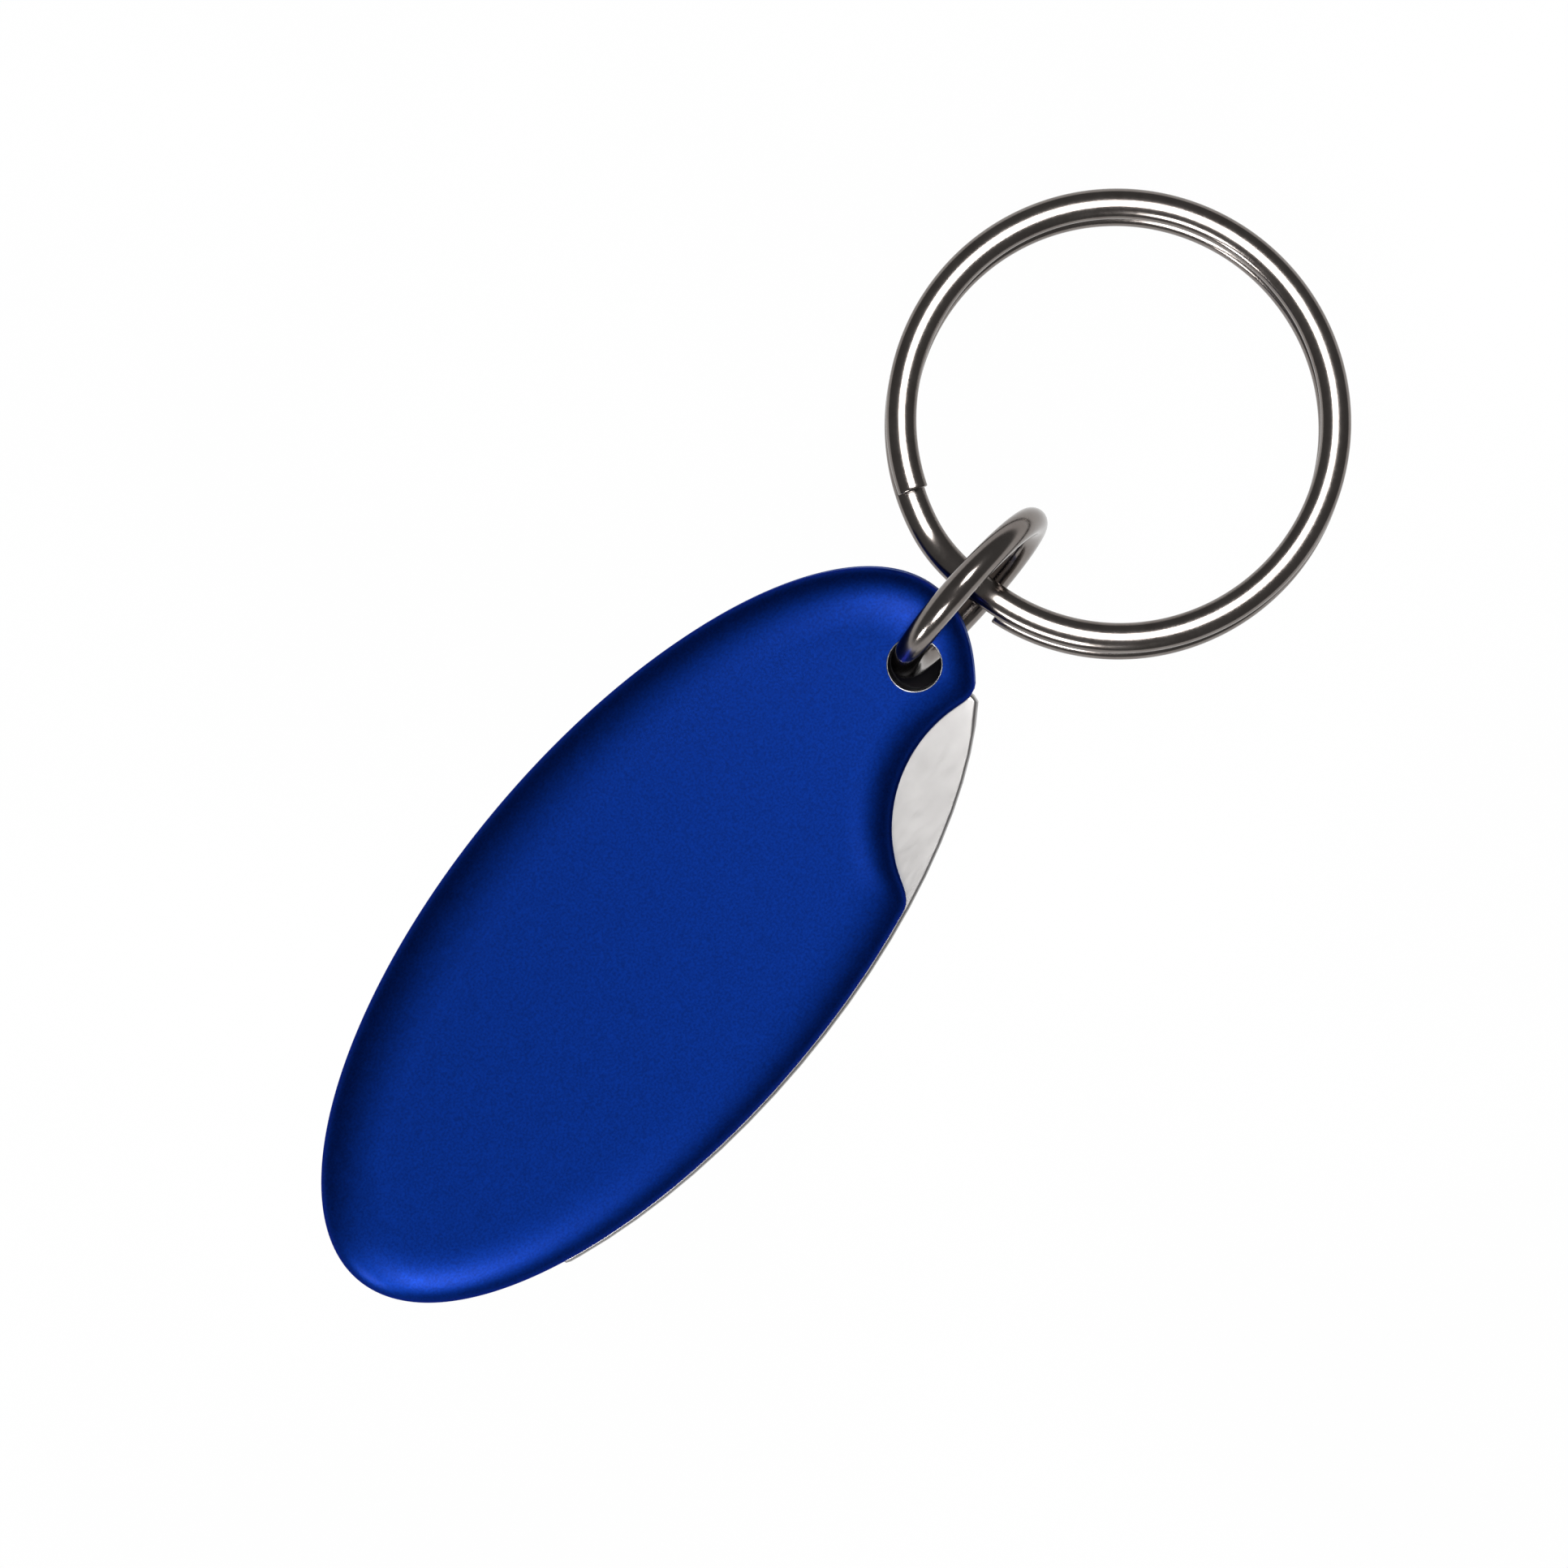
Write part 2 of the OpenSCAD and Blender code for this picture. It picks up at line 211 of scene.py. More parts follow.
def block(low, high):
    start_clean()
    centre = [(a + b) / 2 for a, b in zip(low, high)]
    bpy.ops.mesh.primitive_cube_add(size=1, location=centre)
    bpy.context.object.scale = [b - a for a, b in zip(low, high)]
    return placed()


def finish_piece(piece, name, body, place, material, slot, *replaced, smooth=35, flat=False):
    """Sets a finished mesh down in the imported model's frame and hands it to its body."""
    piece.name = name
    piece.data.name = name
    piece.data.transform(place)
    piece.data.materials.clear()
    piece.data.materials.append(material)
    start_clean()
    piece.select_set(True)
    bpy.context.view_layer.objects.active = piece
    bpy.ops.object.shade_smooth_by_angle(angle=math.radians(smooth))
    if flat:
        apply_modifier(piece, "WEIGHTED_NORMAL", keep_sharp=True, weight=100)
    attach(piece, body)
    if replaced:
        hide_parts(*replaced)
    return piece


def edit_selected_edges(piece, *steps):
    """Runs edit-mode steps on the edges whose select flag is set."""
    chosen = [edge.index for edge in piece.data.edges if edge.select]
    start_clean()
    piece.select_set(True)
    bpy.context.view_layer.objects.active = piece
    bpy.ops.object.mode_set(mode="EDIT")
    bpy.ops.mesh.select_mode(type="EDGE")
    bpy.ops.mesh.select_all(action="DESELECT")
    bpy.ops.object.mode_set(mode="OBJECT")
    for index in chosen:
        piece.data.edges[index].select = True
    bpy.ops.object.mode_set(mode="EDIT")
    for step in steps:
        step()
    bpy.ops.mesh.select_mode(type="VERT")
    bpy.ops.object.mode_set(mode="OBJECT")


def turned(profile, at, steps=192, open_ends=False):
    """A profile of (radius, height) points spun round a vertical line through at."""
    start_clean()
    bpy.ops.mesh.primitive_circle_add(vertices=len(profile), radius=1)
    piece = bpy.context.object
    for vertex, (radius, height) in zip(piece.data.vertices, profile):
        vertex.co = (at[0] + radius, at[1], height)
    if open_ends:
        last = len(profile) - 1
        for edge in piece.data.edges:
            edge.select = set(edge.vertices) == {0, last}
        edit_selected_edges(piece, lambda: bpy.ops.mesh.delete(type="EDGE"))
    edit(
        piece,
        lambda: bpy.ops.mesh.spin(
            steps=steps, angle=math.tau, center=(at[0], at[1], 0), axis=(0, 0, 1)
        ),
    )
    closed(piece)
    return piece


# ---------------------------------------------------------------- finishes

def colour(code):
    """Linear RGBA of an sRGB hex colour."""
    parts = [int(code[i:i + 2], 16) / 255 for i in (0, 2, 4)]
    return [p / 12.92 if p <= 0.04045 else ((p + 0.055) / 1.055) ** 2.4 for p in parts] + [1]


def add_node(tree, kind, inputs=None, **settings):
    """Adds one shader node with its settings, its constants and its links."""
    made = tree.nodes.new(kind)
    for name, value in settings.items():
        setattr(made, name, value)
    for socket, value in (inputs or {}).items():
        if isinstance(value, bpy.types.NodeSocket):
            tree.links.new(value, made.inputs[socket])
        else:
            made.inputs[socket].default_value = value
    return made


def new_finish(name):
    finish = bpy.data.materials.new(name)
    finish.use_nodes = True
    tree = finish.node_tree
    tree.nodes.clear()
    place = add_node(tree, "ShaderNodeTexCoord").outputs["Object"]
    return finish, tree, place


def close_finish(tree, shader):
    add_node(tree, "ShaderNodeOutputMaterial", {"Surface": shader.outputs["BSDF"]})


def grains(size_mm):
    """Scale of a noise texture whose grains are this many millimetres across."""
    return 1 / (size_mm * MM)


def ramp(tree, value, low, high, dark, light):
    made = add_node(tree, "ShaderNodeValToRGB", {"Fac": value})
    made.color_ramp.elements[0].position = low
    made.color_ramp.elements[0].color = dark
    made.color_ramp.elements[1].position = high
    made.color_ramp.elements[1].color = light
    return made.outputs["Color"]


def blue_lacquer():
    """Tinted clear lacquer over fine bright flake: deep blue with a silky, faintly mottled gloss."""
    finish, tree, place = new_finish("blue_flake_lacquer")
    cloud = add_node(tree, "ShaderNodeTexNoise",
                     {"Vector": place, "Scale": grains(0.9), "Detail": 4.0, "Roughness": 0.6})
    flake = add_node(tree, "ShaderNodeTexNoise",
                     {"Vector": place, "Scale": grains(0.16), "Detail": 2.0, "Roughness": 0.5})
    tint = ramp(tree, flake.outputs["Fac"], 0.3, 0.7, colour("031d5d"), colour("042572"))
    gloss = add_node(tree, "ShaderNodeMapRange",
                     {"Value": cloud.outputs["Fac"], "From Min": 0.3, "From Max": 0.7,
                      "To Min": 0.46, "To Max": 0.40})
    skin = add_node(tree, "ShaderNodeBump",
                    {"Height": flake.outputs["Fac"], "Strength": 0.35, "Distance": 0.010 * MM})
    shader = add_node(tree, "ShaderNodeBsdfPrincipled",
                      {"Base Color": tint, "Metallic": 1.0, "Roughness": gloss.outputs["Result"],
                       "Specular Tint": colour("8fb0f0"), "Coat Weight": 0.04,
                       "Coat Roughness": 0.3, "Normal": skin.outputs["Normal"]})
    close_finish(tree, shader)
    return finish


def satin_nickel():
    """Nickel plate over a linished strip: pale grey with a soft sheen and faint long grain."""
    finish, tree, place = new_finish("satin_nickel_plate")
    stretched = add_node(tree, "ShaderNodeMapping", {"Vector": place, "Scale": (0.3, 1.0, 1.0)})
    grain = add_node(tree, "ShaderNodeTexNoise",
                     {"Vector": stretched.outputs["Vector"], "Scale": grains(0.3), "Detail": 3.0})
    cloud = add_node(tree, "ShaderNodeTexNoise",
                     {"Vector": place, "Scale": grains(2.5), "Detail": 3.0})
    tint = ramp(tree, cloud.outputs["Fac"], 0.3, 0.7, colour("9f9d9c"), colour("a7a5a4"))
    gloss = add_node(tree, "ShaderNodeMapRange",
                     {"Value": grain.outputs["Fac"], "From Min": 0.3, "From Max": 0.7,
                      "To Min": 0.32, "To Max": 0.38})
    skin = add_node(tree, "ShaderNodeBump",
                    {"Height": grain.outputs["Fac"], "Strength": 0.12, "Distance": 0.004 * MM})
    shader = add_node(tree, "ShaderNodeBsdfPrincipled",
                      {"Base Color": tint, "Metallic": 1.0, "Roughness": gloss.outputs["Result"],
                       "Normal": skin.outputs["Normal"]})
    close_finish(tree, shader)
    return finish


def dark_nickel():
    """Polished black-nickel plated spring wire: deep warm grey mirror with light handling marks."""
    finish, tree, place = new_finish("polished_dark_nickel")
    cloud = add_node(tree, "ShaderNodeTexNoise",
                     {"Vector": place, "Scale": grains(1.8), "Detail": 4.0, "Roughness": 0.6})
    marks = add_node(tree, "ShaderNodeTexNoise",
                     {"Vector": place, "Scale": grains(0.35), "Detail": 3.0, "Roughness": 0.7})
    tint = ramp(tree, cloud.outputs["Fac"], 0.3, 0.7, colour("77706c"), colour("857f7b"))
    gloss = add_node(tree, "ShaderNodeMapRange",
                     {"Value": marks.outputs["Fac"], "From Min": 0.35, "From Max": 0.75,
                      "To Min": 0.15, "To Max": 0.2})
    skin = add_node(tree, "ShaderNodeBump",
                    {"Height": marks.outputs["Fac"], "Strength": 0.05, "Distance": 0.002 * MM})
    shader = add_node(tree, "ShaderNodeBsdfPrincipled",
                      {"Base Color": tint, "Metallic": 1.0, "Roughness": gloss.outputs["Result"],
                       "Normal": skin.outputs["Normal"]})
    close_finish(tree, shader)
    return finish


def turned_steel():
    """Machined pins, washers and spring wire: mid grey with fine tool marks across z."""
    finish, tree, place = new_finish("turned_steel")
    stretched = add_node(tree, "ShaderNodeMapping", {"Vector": place, "Scale": (0.1, 0.1, 1.0)})
    marks = add_node(tree, "ShaderNodeTexNoise",
                     {"Vector": stretched.outputs["Vector"], "Scale": grains(0.08), "Detail": 2.0})
    tint = ramp(tree, marks.outputs["Fac"], 0.3, 0.7, colour("85868a"), colour("9b9ca0"))
    gloss = add_node(tree, "ShaderNodeMapRange",
                     {"Value": marks.outputs["Fac"], "From Min": 0.3, "From Max": 0.7,
                      "To Min": 0.22, "To Max": 0.32})
    skin = add_node(tree, "ShaderNodeBump",
                    {"Height": marks.outputs["Fac"], "Strength": 0.4, "Distance": 0.004 * MM})
    shader = add_node(tree, "ShaderNodeBsdfPrincipled",
                      {"Base Color": tint, "Metallic": 1.0, "Roughness": gloss.outputs["Result"],
                       "Normal": skin.outputs["Normal"]})
    close_finish(tree, shader)
    return finish


def struck_brass():
    """Struck yellow brass that has been carried: warm, a little tarnished, with fine scuffs."""
    finish, tree, place = new_finish("struck_brass")
    cloud = add_node(tree, "ShaderNodeTexNoise",
                     {"Vector": place, "Scale": grains(3.0), "Detail": 5.0, "Roughness": 0.65})
    scuffs = add_node(tree, "ShaderNodeTexNoise",
                      {"Vector": place, "Scale": grains(0.3), "Detail": 4.0, "Roughness": 0.7})
    tint = ramp(tree, cloud.outputs["Fac"], 0.35, 0.7, colour("b08a45"), colour("dbbb73"))
    gloss = add_node(tree, "ShaderNodeMapRange",
                     {"Value": scuffs.outputs["Fac"], "From Min": 0.3, "From Max": 0.75,
                      "To Min": 0.2, "To Max": 0.42})
    skin = add_node(tree, "ShaderNodeBump",
                    {"Height": scuffs.outputs["Fac"], "Strength": 0.25, "Distance": 0.012 * MM})
    shader = add_node(tree, "ShaderNodeBsdfPrincipled",
                      {"Base Color": tint, "Metallic": 1.0, "Roughness": gloss.outputs["Result"],
                       "Normal": skin.outputs["Normal"]})
    close_finish(tree, shader)
    return finish


def pale_floor():
    """Evenly lit white panel, so that nothing on it throws a shadow."""
    finish, tree, place = new_finish("lit_white_panel")
    cloud = add_node(tree, "ShaderNodeTexNoise", {"Vector": place, "Scale": grains(40.0)})
    tint = ramp(tree, cloud.outputs["Fac"], 0.3, 0.7, colour("fefefe"), colour("ffffff"))
    shader = add_node(tree, "ShaderNodeBsdfPrincipled",
                      {"Base Color": colour("000000"), "Roughness": 1.0, "Specular IOR Level": 0.0,
                       "Emission Color": tint, "Emission Strength": 1.0})
    close_finish(tree, shader)
    return finish


def painted_shadow_disc():
    """Dark disc on the board under the lug hole: a painted shadow where the lug keeps the light off."""
    finish, tree, place = new_finish("painted_shadow_disc")
    cloud = add_node(tree, "ShaderNodeTexNoise", {"Vector": place, "Scale": grains(5.0)})
    tint = ramp(tree, cloud.outputs["Fac"], 0.3, 0.7, colour("1c1a19"), colour("262322"))
    shader = add_node(tree, "ShaderNodeBsdfPrincipled", {"Base Color": tint, "Roughness": 0.9})
    close_finish(tree, shader)
    return finish


LACQUER = blue_lacquer()
NICKEL = satin_nickel()
DARK_NICKEL = dark_nickel()
STEEL = turned_steel()
BRASS = struck_brass()


# ---------------------------------------------------------------- the two lacquered covers

VIEWPOINT = np.array((0.0, 6.0))
RIM_STEPS = 384
ROUNDING_ROWS = 22
FACE_ROWS = 10
HALVINGS = 36
RIM_RAYS = 6001
ROUNDING_POWER = 2.2
COVER_WELD = 0.002


def oval_inset(x, y):
    """How far each point lies inside the oval, counted in ovals with both half axes reduced."""
    low = np.full_like(x, -2.0)
    high = np.full_like(x, HALF_WIDTH - 0.01)
    for _ in range(HALVINGS):
        guess = (low + high) / 2
        outside = (x / (HALF_LENGTH - guess)) ** 2 + (y / (HALF_WIDTH - guess)) ** 2 > 1
        high = np.where(outside, guess, high)
        low = np.where(outside, low, guess)
    return (low + high) / 2


def rounding(x, y):
    """0 at the rim of a cover and 1 where its flat face starts, round the notch as well."""
    border = oval_inset(x, y) / BORDER_WIDTH
    shoulder = (np.hypot(x - NOTCH.x, y - NOTCH.y) - NOTCH_RADIUS) / SHOULDER_WIDTH
    blend = np.maximum(CORNER_BLEND - np.abs(border - shoulder), 0)
    return np.minimum(border, shoulder) - blend ** 2 / (4 * CORNER_BLEND)


def face_height(x, y):
    """Height of the front face over the plan, without the wall below the rounding."""
    share = np.clip(rounding(x, y), 0, 1)
    crown = FACE_CROWN * ((x / HALF_LENGTH) ** 2 + (y / HALF_WIDTH) ** 2)
    rise = THICKNESS - WALL_TOP
    return WALL_TOP + (rise - crown * share) * (1 - (1 - share) ** ROUNDING_POWER) ** 0.5


def along_ray(angle, target):
    """Distance from the viewpoint at which each ray meets a level of the rounding."""
    low = np.zeros_like(angle)
    high = np.full_like(angle, 1.3 * HALF_LENGTH)
    for _ in range(HALVINGS):
        guess = (low + high) / 2
        level = rounding(VIEWPOINT[0] + guess * np.cos(angle), VIEWPOINT[1] + guess * np.sin(angle))
        low = np.where(level > target, guess, low)
        high = np.where(level > target, high, guess)
    return (low + high) / 2


def rim_angles():
    """Rays from the viewpoint that meet the rim at equal steps along it."""
    angle = np.linspace(0, math.tau, RIM_RAYS)
    reach = along_ray(angle, 0.0)
    x, y = reach * np.cos(angle), reach * np.sin(angle)
    run = np.concatenate(([0], np.cumsum(np.hypot(np.diff(x), np.diff(y)))))
    return np.interp(np.linspace(0, run[-1], RIM_STEPS + 1), run, angle)


def cover_points():
    """Rows of points from the parting line up over the rounding to the middle of the face."""
    angle = rim_angles()
    cos, sin = np.cos(angle), np.sin(angle)
    rows = []
    rim = along_ray(angle, 0.0)
    eased = along_ray(angle, LIP_EASE / BORDER_WIDTH)
    for reach, height in ((eased, MIDDLE), (rim, MIDDLE + LIP_HEIGHT)):
        rows.append((reach, np.full_like(angle, height)))
    for row in range(ROUNDING_ROWS + 1):
        level = 1 - math.cos(math.radians(90 * row / ROUNDING_ROWS))
        rows.append((along_ray(angle, level), None))
    flat = rows[-1][0]
    for row in range(1, FACE_ROWS + 1):
        rows.append((flat * (1 - row / FACE_ROWS), None))
    points = []
    for reach, height in rows:
        x, y = VIEWPOINT[0] + reach * cos, VIEWPOINT[1] + reach * sin
        points.append(np.stack((x, y, face_height(x, y) if height is None else height), axis=1))
    return np.array(points)


def slot_pocket():
    """Room between the covers for the plate: open along the slot side, closed at the spine."""
    low, high = MIDDLE - 1, SLOT_TOP
    mouth_y = pivot.y + MOUTH_OFFSET
    reach = hole.x - BORE_RADIUS - LINER_SIDE - LUG_WALL - pivot.x
    big = 2 * HALF_LENGTH
    inside = disc(pivot, HEEL_RADIUS + EDGE_GAP, low, high)
    combine(inside, disc(token_middle, SEAT_RING_RADIUS + EDGE_GAP, low, high), "UNION")
    edit(inside, bpy.ops.mesh.convex_hull)
    combine(inside, block((token_middle.x - EDGE_GAP, -big, low), (big, big, high)), "UNION")
    combine(inside, oval(SPINE_WALL, low - 1, high + 1), "INTERSECT")
    combine(inside, block((-big, -big, low), (big, mouth_y, high)), "UNION")
    combine(inside, disc(pivot, reach, low - 1, high + 1, 256), "INTERSECT")
    combine(inside, disc(pivot, HEEL_RADIUS + EDGE_GAP, low, high), "UNION")
    combine(inside, disc(NOTCH, NOTCH_RADIUS + NOTCH_RELIEF, low, high), "UNION")
    return inside


def front_cover():
    points = cover_points()
    count = points.shape[0] - 1
    start_clean()
    bpy.ops.mesh.primitive_grid_add(x_subdivisions=RIM_STEPS, y_subdivisions=count, size=1)
    cover = bpy.context.object
    for vertex in cover.data.vertices:
        step = round((vertex.co.x + 0.5) * RIM_STEPS)
        row = round((vertex.co.y + 0.5) * count)
        vertex.co = points[row, step]
    closed(cover, COVER_WELD)
    edit(
        cover,
        lambda: bpy.ops.mesh.select_all(action="DESELECT"),
        lambda: bpy.ops.mesh.select_non_manifold(),
        bpy.ops.mesh.edge_face_add,
    )
    closed(cover, COVER_WELD)
    combine(cover, slot_pocket(), "DIFFERENCE")
    combine(cover, disc(hole, BORE_RADIUS + LINER_WALL, -1, THICKNESS + 1, 96), "DIFFERENCE")
    return cover


front = front_cover()
start_clean()
front.select_set(True)
bpy.context.view_layer.objects.active = front
bpy.ops.object.duplicate()
back = bpy.context.object
back.data.transform(Matrix.Translation((0, 0, THICKNESS)) @ Matrix.Diagonal((1, 1, -1, 1)))
closed(back)
finish_piece(front, "front_cover", "body", FOB, LACQUER, "blue_lacquer", "front_shell")
finish_piece(back, "back_cover", "body", FOB, LACQUER, "blue_lacquer", "back_shell")


# ---------------------------------------------------------------- liner of the lug hole

def lug_liner():
    """Thin tube whose rolled mouths follow the face and stand just proud of the lacquer."""
    inner, outer = BORE_RADIUS, BORE_RADIUS + LINER_WALL
    lip = LINER_WALL / 2
    mouth = [
        (inner + lip - lip * math.cos(math.radians(a)), THICKNESS + lip * math.sin(math.radians(a)))
        for a in range(0, 181, 30)
    ]
    half = [(inner, MIDDLE)] + mouth + [(outer, MIDDLE)]
    under = [(radius, THICKNESS - height) for radius, height in reversed(half[1:-1])]
    tube = turned(half + under, hole, steps=96)
    for vertex in tube.data.vertices:
        top = vertex.co.z > MIDDLE
        if abs(vertex.co.z - MIDDLE) < 0.1:
            continue
        out = (vertex.co.xy - hole.xy).normalized() * outer
        level = float(face_height(np.array([hole.x + out.x]), np.array([hole.y + out.y]))[0])
        drop = THICKNESS - level - 0.01
        vertex.co.z += -drop if top else drop
    return tube


finish_piece(lug_liner(), "lug_liner", "body", FOB, STEEL, "pin_steel", "lug_eyelet", smooth=50)


# ---------------------------------------------------------------- plate and token

LOOSE_CORNER = 0.42
PLATE_EASE = 0.24


def swing_plate():
    """The plate's own outline with its two loose corners rounded and every rim eased."""
    start_clean()
    nodes["token_carrier"].select_set(True)
    bpy.context.view_layer.objects.active = nodes["token_carrier"]
    bpy.ops.object.duplicate()
    plate = bpy.context.object
    # the copy is a new piece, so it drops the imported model's marks
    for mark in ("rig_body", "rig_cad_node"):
        del plate[mark]
    plate.parent = None
    plate.data.transform(FOB.inverted())
    edit(plate, lambda: bpy.ops.mesh.remove_doubles(threshold=0.001))
    for vertex in plate.data.vertices:
        x, y = vertex.co.xy
        proud = 0.985 < math.hypot(x / (HALF_LENGTH + PROUD), y / (HALF_WIDTH + PROUD)) < 1.01
        reach = SEEN_PROUD if x > pivot.x - 0.1 else -HEEL_INSET
        if y > 0 or (x > pivot.x - 0.1 and not proud):
            continue
        past = math.hypot(x / (HALF_LENGTH + reach), y / (HALF_WIDTH + reach))
        if past > 1:
            vertex.co.x, vertex.co.y = x / past, y / past
    for edge in plate.data.edges:
        a, b = (plate.data.vertices[i].co for i in edge.vertices)
        upright = (a.xy - b.xy).length < 0.01 and abs(a.z - b.z) > 1
        edge.select = upright and a.x > NOSE_TIP - 0.2
    edit_selected_edges(plate, lambda: bpy.ops.mesh.bevel(offset=LOOSE_CORNER, segments=6, affect="EDGES"))
    apply_modifier(plate, "BEVEL", width=PLATE_EASE, segments=3, limit_method="ANGLE",
                   angle_limit=math.radians(50), use_clamp_overlap=False)
    return plate


finish_piece(swing_plate(), "swing_plate", "carrier", FOB, NICKEL, "satin_nickel",
             "token_carrier", flat=True)


def token_blank():
    """Struck disc: raised rim, a raised ring inside it, and a stepped middle on both faces."""
    low, high = (z / MM for z in span(["token"], fob_up))
    thick = high - low
    radius = max((in_fob(v.co).xy - token_middle.xy).length for v in nodes["token"].data.vertices)
    top = [
        (0.0, 0.55), (3.2, 0.55), (3.5, 0.66), (4.0, 0.66), (4.3, 0.5),
        (radius - 1.7, 0.5), (radius - 1.35, 0.94), (radius - 0.25, 0.95), (radius - 0.06, 0.88),
        (radius, 0.72),
    ]
    scale = thick / 2 / 0.95
    upper = [(r, token_middle.z + h * scale) for r, h in top]
    edge = [(radius, token_middle.z + 0.4), (radius - 0.25, token_middle.z)]
    lower = [(r, 2 * token_middle.z - z) for r, z in reversed(upper + edge[:1])]
    return turned(upper + edge + lower, token_middle, steps=180, open_ends=True)


finish_piece(token_blank(), "token_blank", "carrier", FOB, BRASS, "token_brass", "token")


# ---------------------------------------------------------------- rings

JOINT_SLIT = 0.9


def jump_ring():
    """Round wire bent to a ring; the hair-thin joint lies on the side inside the fob's hole."""
    middle = in_fob(middle_of("jump_ring"))
    reach = [in_fob(vertex.co) - middle for vertex in nodes["jump_ring"].data.vertices]
    outer = max(offset.length for offset in reach)
    wire = (outer - min(offset.length for offset in reach)) / 2
    normal = Vector(np.linalg.svd(np.array(reach), full_matrices=False)[2][2])
    start_clean()
    bpy.ops.mesh.primitive_circle_add(vertices=40, radius=wire, location=(outer - wire, 0, 0),
                                      rotation=(math.pi / 2, 0, 0), fill_type="NGON")
    piece = placed()
    slit = math.radians(JOINT_SLIT)
    edit(piece, lambda: bpy.ops.mesh.spin(steps=200, angle=math.tau - slit, center=(0, 0, 0),
                                          axis=(0, 0, 1)))
    edit(
        piece,
        lambda: bpy.ops.mesh.select_all(action="DESELECT"),
        lambda: bpy.ops.mesh.select_non_manifold(),
        bpy.ops.mesh.edge_face_add,
    )
    closed(piece, 0.0001)
    across = normal if normal.y > 0 else -normal
    along = Vector((-1, 0, 0))
    along = (along - across * along.dot(across)).normalized()
    piece.data.transform(
        Matrix.Translation(middle) @ Matrix((along, across.cross(along), across)).transposed().to_4x4()
    )
    return piece


finish_piece(jump_ring(), "link_ring", "jump_link", FOB, DARK_NICKEL, "dark_nickel", "jump_ring",
             smooth=60)


RING_OUTER = 15.0
WIRE_WIDTH = 1.97
WIRE_HEIGHT = 1.3
TURN_GAP = 0.05
RING_MEAN = RING_OUTER - WIRE_WIDTH / 2
RING_HEIGHT = 2 * WIRE_HEIGHT + TURN_GAP
SECTION_POWER = 2.25
CUT_END = 149
TURN_SWEEP = 322
STEP_SWEEP = 360 - TURN_SWEEP
RAMP_SHARE = 0.76
TURN_SHIFT = 0.3
SHIFT_BEARING = 220
CUT_EDGE = 0.08


def split_ring():
    """Two turns of rounded flat wire; the upper turn steps down beside its own cut end."""
    around = 40
    start_clean()
    bpy.ops.mesh.primitive_circle_add(vertices=around, radius=1, location=(RING_MEAN, 0, 0),
                                      rotation=(math.pi / 2, 0, 0), fill_type="NGON")
    piece = placed()
    for vertex in piece.data.vertices:
        turn = math.atan2(vertex.co.z, vertex.co.x - RING_MEAN)
        cos, sin = math.cos(turn), math.sin(turn)
        square = 2 / SECTION_POWER
        vertex.co.x = RING_MEAN + WIRE_WIDTH / 2 * math.copysign(abs(cos) ** square, cos)
        vertex.co.z = WIRE_HEIGHT / 2 * math.copysign(abs(sin) ** square, sin)
    total = 2 * TURN_SWEEP + STEP_SWEEP
    edit(piece, lambda: bpy.ops.mesh.spin(steps=total, angle=math.radians(total),
                                          center=(0, 0, 0), axis=(0, 0, 1)))
    level = (WIRE_HEIGHT + TURN_GAP) / 2
    for vertex in piece.data.vertices:
        run = vertex.index // around
        share = min(1, max(0, (run - TURN_SWEEP) / STEP_SWEEP / RAMP_SHARE))
        share = share * share * (3 - 2 * share)
        vertex.co.z += level - 2 * level * share
        away = math.radians(SHIFT_BEARING - CUT_END)
        vertex.co.x += TURN_SHIFT * share * math.cos(away)
        vertex.co.y += TURN_SHIFT * share * math.sin(away)
    edit(
        piece,
        lambda: bpy.ops.mesh.select_all(action="DESELECT"),
        lambda: bpy.ops.mesh.select_non_manifold(),
        bpy.ops.mesh.edge_face_add,
    )
    edit(piece, lambda: bpy.ops.mesh.normals_make_consistent(inside=False))
    piece.data.transform(Matrix.Rotation(math.radians(CUT_END), 4, "Z"))
    apply_modifier(piece, "BEVEL", width=CUT_EDGE, segments=2, limit_method="ANGLE",
                   angle_limit=math.radians(60))
    return piece


crossing = Vector(joints["split_ring_swing"]["pos_m"])
tilt = math.asin((crossing.z / MM - RING_HEIGHT / 2) / (2 * RING_MEAN))
ring_along = Vector((math.cos(tilt), 0, -math.sin(tilt)))
ring_up = Vector((math.sin(tilt), 0, math.cos(tilt)))
KEY_RING = set_down(crossing + ring_along * RING_MEAN * MM, ring_along, fob_across, ring_up)
finish_piece(split_ring(), "split_key_ring", "key_link", KEY_RING, DARK_NICKEL, "dark_nickel",
             "split_ring", smooth=50)


# ---------------------------------------------------------------- pins, washers and spring

for name in ("token_spring", "pivot_pin", "plain_washer", "disc_spring", "stop_pin", "dowel_pins"):
    part = nodes[name]
    if not part.material_slots:
        part.data.materials.append(STEEL)
    for slot in part.material_slots:
        slot.material = STEEL


# ---------------------------------------------------------------- floor, light and camera

VIEW_TURN = math.radians(50)
VIEW_RIGHT = Vector((math.cos(VIEW_TURN), -math.sin(VIEW_TURN), 0))
VIEW_UP = Vector((math.sin(VIEW_TURN), math.cos(VIEW_TURN), 0))
VIEW_WIDTH = 100.26
SENSOR, LENS = 36.0, 200.0
FLOOR_DROP = 0.2
SHADE_RADIUS, SHADE_DROP = 2.7, 0.08
aim = FOB @ Vector((13.02, -0.457, MIDDLE))

start_clean()
bpy.ops.mesh.primitive_plane_add(size=4, location=(0, 0, -FLOOR_DROP * MM))
floor = bpy.context.object
floor.name = "floor"
floor.data.materials.append(pale_floor())
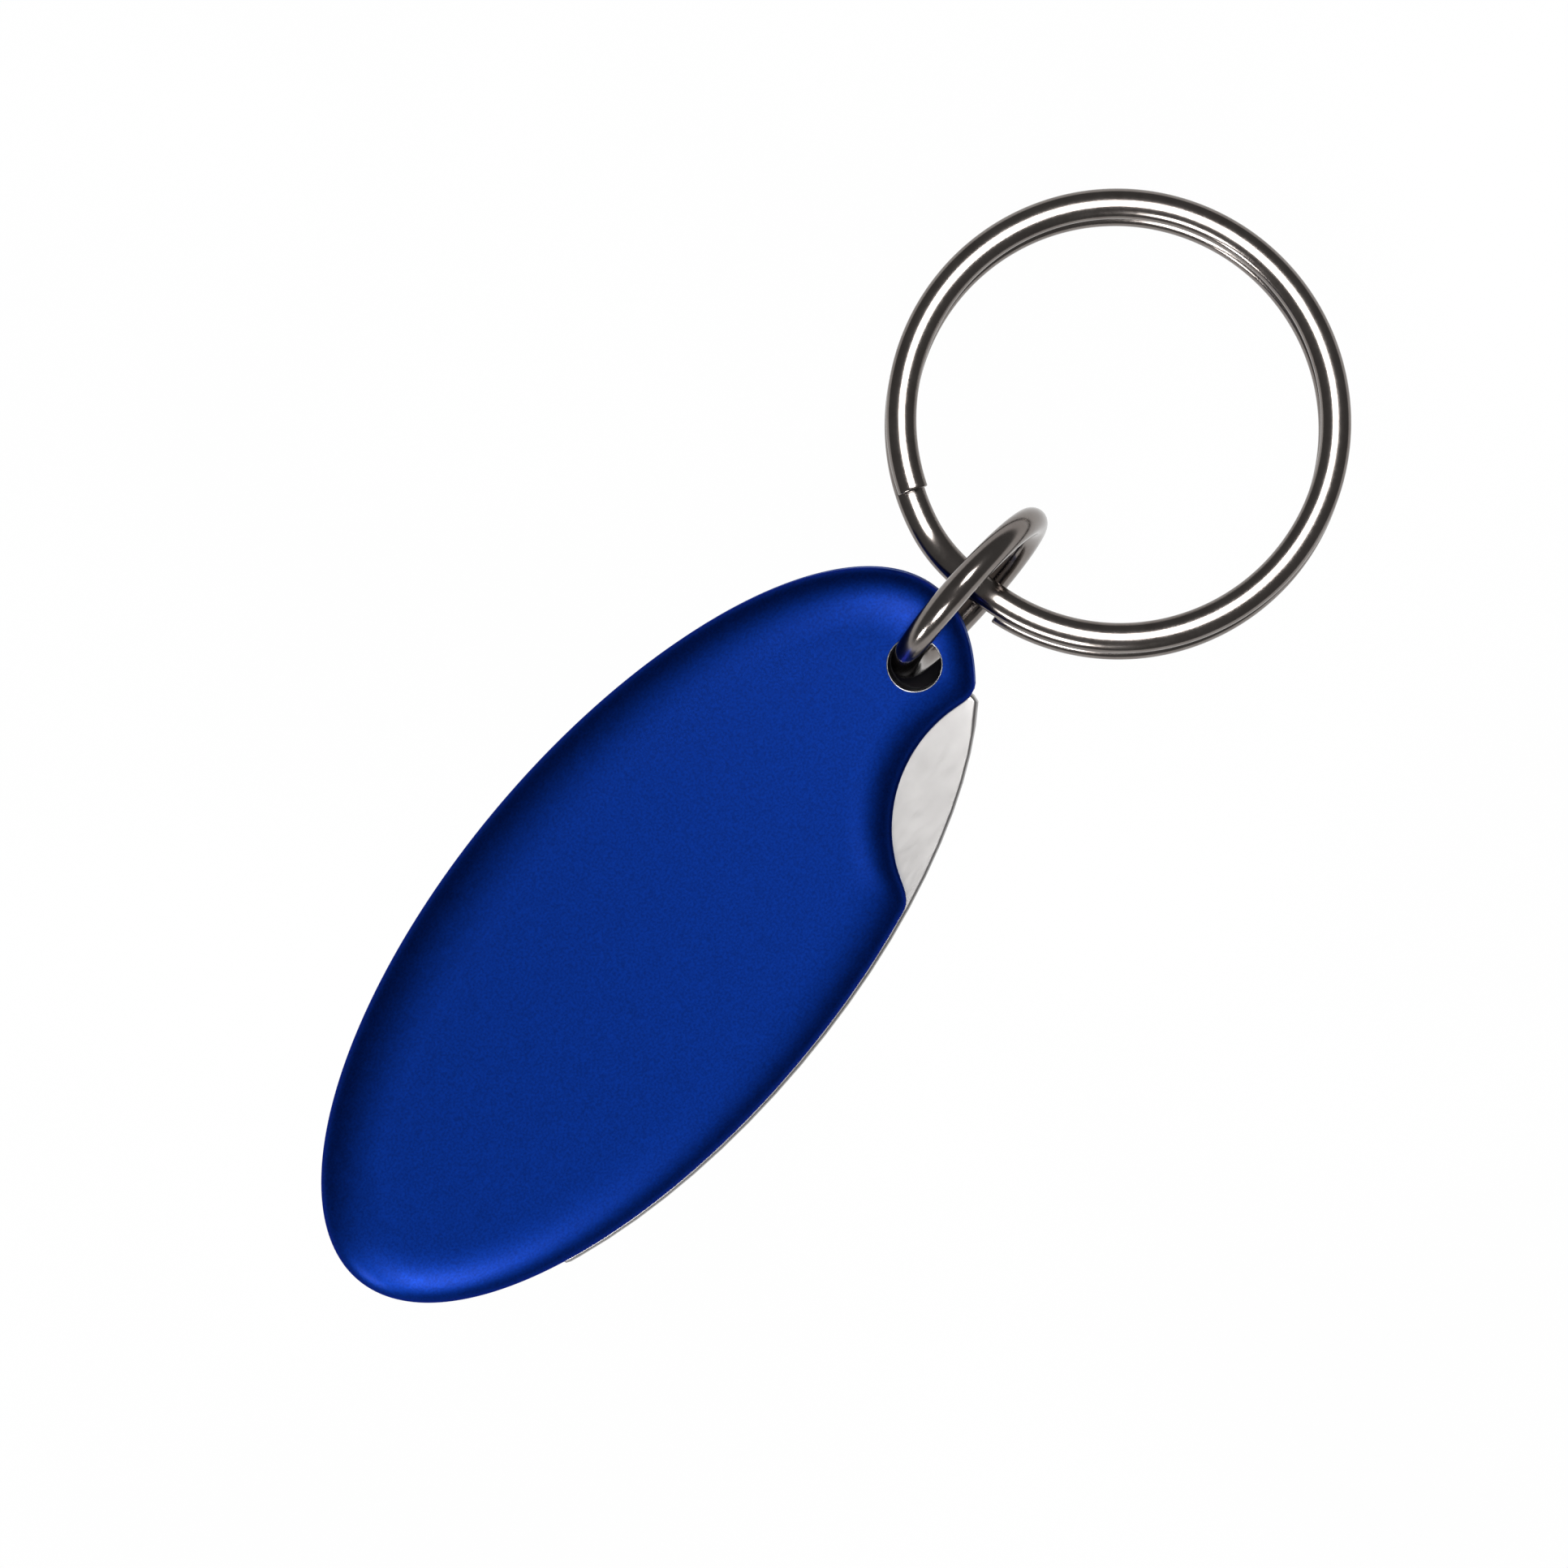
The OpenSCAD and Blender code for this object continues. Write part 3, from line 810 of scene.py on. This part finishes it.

# painted shadow: a dark disc on the floor under the lug hole, so the hole shows dark instead of the lit
# floor
start_clean()
bpy.ops.mesh.primitive_circle_add(vertices=64, radius=1, fill_type="NGON")
pad = bpy.context.object
pad.name = "contact_shade"
pad.scale = [SHADE_RADIUS * MM] * 3
under_hole = FOB @ Vector((hole.x, hole.y, 0))
pad.location = (under_hole.x, under_hole.y, -SHADE_DROP * MM)
placed()
pad.data.materials.append(painted_shadow_disc())


def softbox(name, bearing, zenith, distance, width, height, power):
    """Area light at a bearing in the view (0 right, 90 up) and an angle from overhead."""
    turn, lean = math.radians(bearing), math.radians(zenith)
    level = VIEW_RIGHT * math.cos(turn) + VIEW_UP * math.sin(turn)
    toward = level * math.sin(lean) + Vector((0, 0, 1)) * math.cos(lean)
    lamp = bpy.data.lights.new(name, "AREA")
    lamp.shape = "RECTANGLE"
    lamp.size, lamp.size_y = width, height
    lamp.energy = power
    holder = bpy.data.objects.new(name, lamp)
    bpy.context.scene.collection.objects.link(holder)
    holder.location = aim + toward * distance
    right = (VIEW_RIGHT - toward * VIEW_RIGHT.dot(toward)).normalized()
    holder.rotation_euler = (
        Matrix((right, toward.cross(right), toward)).transposed().to_euler()
    )


softbox("overhead_box", 58, 12, 0.9, 0.26, 0.28, 4.5)
softbox("tail_box", 257, 42, 0.9, 0.30, 0.26, 5.5)
softbox("link_box", 235, 68, 0.9, 0.16, 0.16, 3.0)

world = bpy.data.worlds.new("studio")
bpy.context.scene.world = world
world.use_nodes = True
sky = world.node_tree
sky.nodes.clear()
heading = add_node(sky, "ShaderNodeTexCoord").outputs["Generated"]
parts = add_node(sky, "ShaderNodeSeparateXYZ", {"Vector": heading})
rise = add_node(sky, "ShaderNodeValToRGB", {"Fac": parts.outputs["Z"]})
stops = rise.color_ramp.elements
stops[0].position, stops[0].color = 0.0, (0.9, 0.9, 0.9, 1)
stops[1].position, stops[1].color = 0.06, (0.5, 0.5, 0.5, 1)
for position, level in ((0.14, 0.17), (0.7, 0.17), (1.0, 0.2)):
    stop = stops.new(position)
    stop.color = (level, level, level, 1)
glow = add_node(sky, "ShaderNodeBackground", {"Color": rise.outputs["Color"], "Strength": 0.9})
add_node(sky, "ShaderNodeOutputWorld", {"Surface": glow.outputs["Background"]})

lens = bpy.data.cameras.new("camera")
lens.sensor_width = SENSOR
lens.lens = LENS
lens.clip_start, lens.clip_end = 0.01, 20
camera = bpy.data.objects.new("camera", lens)
bpy.context.scene.collection.objects.link(camera)
camera.location = aim + Vector((0, 0, VIEW_WIDTH * MM * LENS / SENSOR))
camera.rotation_euler = Matrix((VIEW_RIGHT, VIEW_UP, (0, 0, 1))).transposed().to_euler()
bpy.context.scene.camera = camera
bpy.context.scene.view_settings.view_transform = "Standard"


# ---------------------------------------------------------------- leave nothing selected

start_clean()
